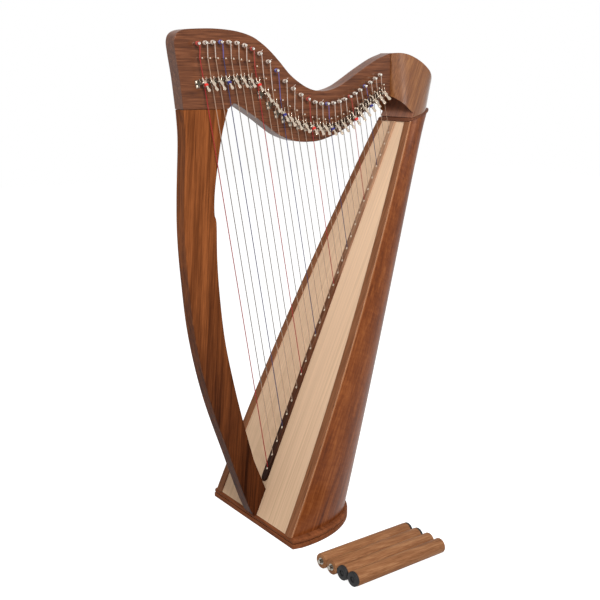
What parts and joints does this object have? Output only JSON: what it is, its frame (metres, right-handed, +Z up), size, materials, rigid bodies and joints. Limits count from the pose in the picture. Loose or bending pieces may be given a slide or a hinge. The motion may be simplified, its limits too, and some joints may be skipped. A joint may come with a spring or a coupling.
{
  "type": "lever harp",
  "caption": "Standing lever harp with a bowed pillar, a curved neck, a round-backed soundbox, a sharpening lever for each string and four screw-in legs beside it.",
  "frame": {"origin": "middle of the base's underside, on the floor", "axes": "+Z up; +X from the pillar back to the player's shoulder; the pins and levers are on the neck's -Y face"},
  "size_m": [0.5886, 0.495, 0.9652],
  "materials": {
    "walnut": "oiled brown walnut",
    "shell_walnut": "satin reddish walnut veneer",
    "cap_walnut": "satin lighter walnut",
    "dark_walnut": "dark oiled walnut",
    "spruce": "pale satin spruce",
    "leg_walnut": "oiled light walnut",
    "nickel": "nickel plated",
    "red_mark": "red sleeve, C strings",
    "blue_mark": "blue sleeve, F strings",
    "rubber": "black rubber"
  },
  "bodies": {
    "harp": {"pillar": "walnut", "neck": "walnut", "soundboard": "spruce", "board_rim_left": "walnut", "board_rim_right": "walnut", "soundbox_shell": "shell_walnut", "collar_bead": "walnut", "shoulder_cap": "cap_walnut", "shoulder_front_board": "dark_walnut", "strings_and_rib": "dark_walnut", "inner_string_rib": "spruce", "lining_left": "spruce", "lining_right": "spruce", "bottom_block": "spruce", "base_upper": "walnut", "base_lower": "walnut", "leg_socket_1": "nickel", "leg_socket_2": "nickel", "leg_socket_3": "nickel", "leg_socket_4": "nickel", "leg_1": "leg_walnut", "leg_2": "leg_walnut", "leg_3": "leg_walnut", "leg_4": "leg_walnut", "leg_foot_1": "rubber", "leg_foot_2": "rubber", "leg_foot_3": "rubber", "leg_foot_4": "rubber", "leg_stud_1": "nickel", "leg_stud_2": "nickel", "leg_stud_3": "nickel", "leg_stud_4": "nickel"},
    "lever_01": {"lever_01": "red_mark"},
    "lever_02": {"lever_02": "nickel"},
    "lever_03": {"lever_03": "nickel"},
    "lever_04": {"lever_04": "blue_mark"},
    "lever_05": {"lever_05": "nickel"},
    "lever_06": {"lever_06": "nickel"},
    "lever_07": {"lever_07": "nickel"},
    "lever_08": {"lever_08": "red_mark"},
    "lever_09": {"lever_09": "nickel"},
    "lever_10": {"lever_10": "nickel"},
    "lever_11": {"lever_11": "blue_mark"},
    "lever_12": {"lever_12": "nickel"},
    "lever_13": {"lever_13": "nickel"},
    "lever_14": {"lever_14": "nickel"},
    "lever_15": {"lever_15": "red_mark"},
    "lever_16": {"lever_16": "nickel"},
    "lever_17": {"lever_17": "nickel"},
    "lever_18": {"lever_18": "blue_mark"},
    "lever_19": {"lever_19": "nickel"},
    "lever_20": {"lever_20": "nickel"},
    "lever_21": {"lever_21": "nickel"},
    "lever_22": {"lever_22": "red_mark"},
    "lever_23": {"lever_23": "nickel"},
    "lever_24": {"lever_24": "nickel"},
    "lever_25": {"lever_25": "blue_mark"},
    "lever_26": {"lever_26": "nickel"},
    "lever_27": {"lever_27": "nickel"},
    "lever_28": {"lever_28": "nickel"}
  },
  "joints": [
    {"name": "lever_01_turn", "type": "hinge", "parent": "harp", "child": "lever_01", "pos_m": [-0.21576, -0.03328, 0.87203], "axis": [-0.9813, 0, -0.1925], "range_deg": [0, 90]},
    {"name": "lever_02_turn", "type": "hinge", "parent": "harp", "child": "lever_02", "pos_m": [-0.20007, -0.03327, 0.87335], "axis": [-0.9809, 0, -0.1943], "range_deg": [0, 90]},
    {"name": "lever_03_turn", "type": "hinge", "parent": "harp", "child": "lever_03", "pos_m": [-0.18438, -0.03327, 0.87468], "axis": [-0.9806, 0, -0.196], "range_deg": [0, 90]},
    {"name": "lever_04_turn", "type": "hinge", "parent": "harp", "child": "lever_04", "pos_m": [-0.16874, -0.03328, 0.8761], "axis": [-0.9802, 0, -0.1978], "range_deg": [0, 90]},
    {"name": "lever_05_turn", "type": "hinge", "parent": "harp", "child": "lever_05", "pos_m": [-0.15319, -0.0333, 0.87757], "axis": [-0.9799, 0, -0.1996], "range_deg": [0, 90]},
    {"name": "lever_06_turn", "type": "hinge", "parent": "harp", "child": "lever_06", "pos_m": [-0.13763, -0.03334, 0.87875], "axis": [-0.9795, 0, -0.2015], "range_deg": [0, 90]},
    {"name": "lever_07_turn", "type": "hinge", "parent": "harp", "child": "lever_07", "pos_m": [-0.12182, -0.03338, 0.8785], "axis": [-0.9791, 0, -0.2033], "range_deg": [0, 90]},
    {"name": "lever_08_turn", "type": "hinge", "parent": "harp", "child": "lever_08", "pos_m": [-0.10547, -0.03341, 0.87168], "axis": [-0.9784, 0, -0.2066], "range_deg": [0, 90]},
    {"name": "lever_09_turn", "type": "hinge", "parent": "harp", "child": "lever_09", "pos_m": [-0.08631, -0.0334, 0.8522], "axis": [-0.9777, 0, -0.2098], "range_deg": [0, 90]},
    {"name": "lever_10_turn", "type": "hinge", "parent": "harp", "child": "lever_10", "pos_m": [-0.06805, -0.03339, 0.8333], "axis": [-0.9767, 0, -0.2148], "range_deg": [0, 90]},
    {"name": "lever_11_turn", "type": "hinge", "parent": "harp", "child": "lever_11", "pos_m": [-0.05056, -0.03338, 0.81704], "axis": [-0.9753, 0, -0.2209], "range_deg": [0, 90]},
    {"name": "lever_12_turn", "type": "hinge", "parent": "harp", "child": "lever_12", "pos_m": [-0.03489, -0.03336, 0.80739], "axis": [-0.9735, 0, -0.2286], "range_deg": [0, 90]},
    {"name": "lever_13_turn", "type": "hinge", "parent": "harp", "child": "lever_13", "pos_m": [-0.01929, -0.03334, 0.80076], "axis": [-0.9718, 0, -0.2357], "range_deg": [0, 90]},
    {"name": "lever_14_turn", "type": "hinge", "parent": "harp", "child": "lever_14", "pos_m": [-0.00165, -0.03332, 0.79456], "axis": [-0.9712, 0, -0.2381], "range_deg": [0, 90]},
    {"name": "lever_15_turn", "type": "hinge", "parent": "harp", "child": "lever_15", "pos_m": [0.01563, -0.03335, 0.79068], "axis": [-0.9708, 0, -0.2399], "range_deg": [0, 90]},
    {"name": "lever_16_turn", "type": "hinge", "parent": "harp", "child": "lever_16", "pos_m": [0.0306, -0.03341, 0.78928], "axis": [-0.969, 0, -0.247], "range_deg": [0, 90]},
    {"name": "lever_17_turn", "type": "hinge", "parent": "harp", "child": "lever_17", "pos_m": [0.045, -0.03337, 0.78908], "axis": [-0.9668, 0, -0.2557], "range_deg": [0, 90]},
    {"name": "lever_18_turn", "type": "hinge", "parent": "harp", "child": "lever_18", "pos_m": [0.06028, -0.03298, 0.78821], "axis": [-0.9648, 0, -0.263], "range_deg": [0, 90]},
    {"name": "lever_19_turn", "type": "hinge", "parent": "harp", "child": "lever_19", "pos_m": [0.07543, -0.03251, 0.78898], "axis": [-0.9628, 0, -0.2701], "range_deg": [0, 90]},
    {"name": "lever_20_turn", "type": "hinge", "parent": "harp", "child": "lever_20", "pos_m": [0.08986, -0.03231, 0.79322], "axis": [-0.9609, 0, -0.2768], "range_deg": [0, 90]},
    {"name": "lever_21_turn", "type": "hinge", "parent": "harp", "child": "lever_21", "pos_m": [0.10396, -0.0322, 0.79895], "axis": [-0.9589, 0, -0.2838], "range_deg": [0, 90]},
    {"name": "lever_22_turn", "type": "hinge", "parent": "harp", "child": "lever_22", "pos_m": [0.11747, -0.03206, 0.80552], "axis": [-0.9561, 0, -0.2932], "range_deg": [0, 90]},
    {"name": "lever_23_turn", "type": "hinge", "parent": "harp", "child": "lever_23", "pos_m": [0.13015, -0.03185, 0.81326], "axis": [-0.952, 0, -0.3062], "range_deg": [0, 90]},
    {"name": "lever_24_turn", "type": "hinge", "parent": "harp", "child": "lever_24", "pos_m": [0.14223, -0.03162, 0.82196], "axis": [-0.9465, 0, -0.3226], "range_deg": [0, 90]},
    {"name": "lever_25_turn", "type": "hinge", "parent": "harp", "child": "lever_25", "pos_m": [0.15422, -0.03134, 0.83027], "axis": [-0.9394, 0, -0.3428], "range_deg": [0, 90]},
    {"name": "lever_26_turn", "type": "hinge", "parent": "harp", "child": "lever_26", "pos_m": [0.16624, -0.03097, 0.83765], "axis": [-0.9295, 0, -0.3688], "range_deg": [0, 90]},
    {"name": "lever_27_turn", "type": "hinge", "parent": "harp", "child": "lever_27", "pos_m": [0.1782, -0.03053, 0.84473], "axis": [-0.9157, 0, -0.4018], "range_deg": [0, 90]},
    {"name": "lever_28_turn", "type": "hinge", "parent": "harp", "child": "lever_28", "pos_m": [0.19024, -0.03, 0.85194], "axis": [-0.897, 0, -0.442], "range_deg": [0, 90]}
  ]
}
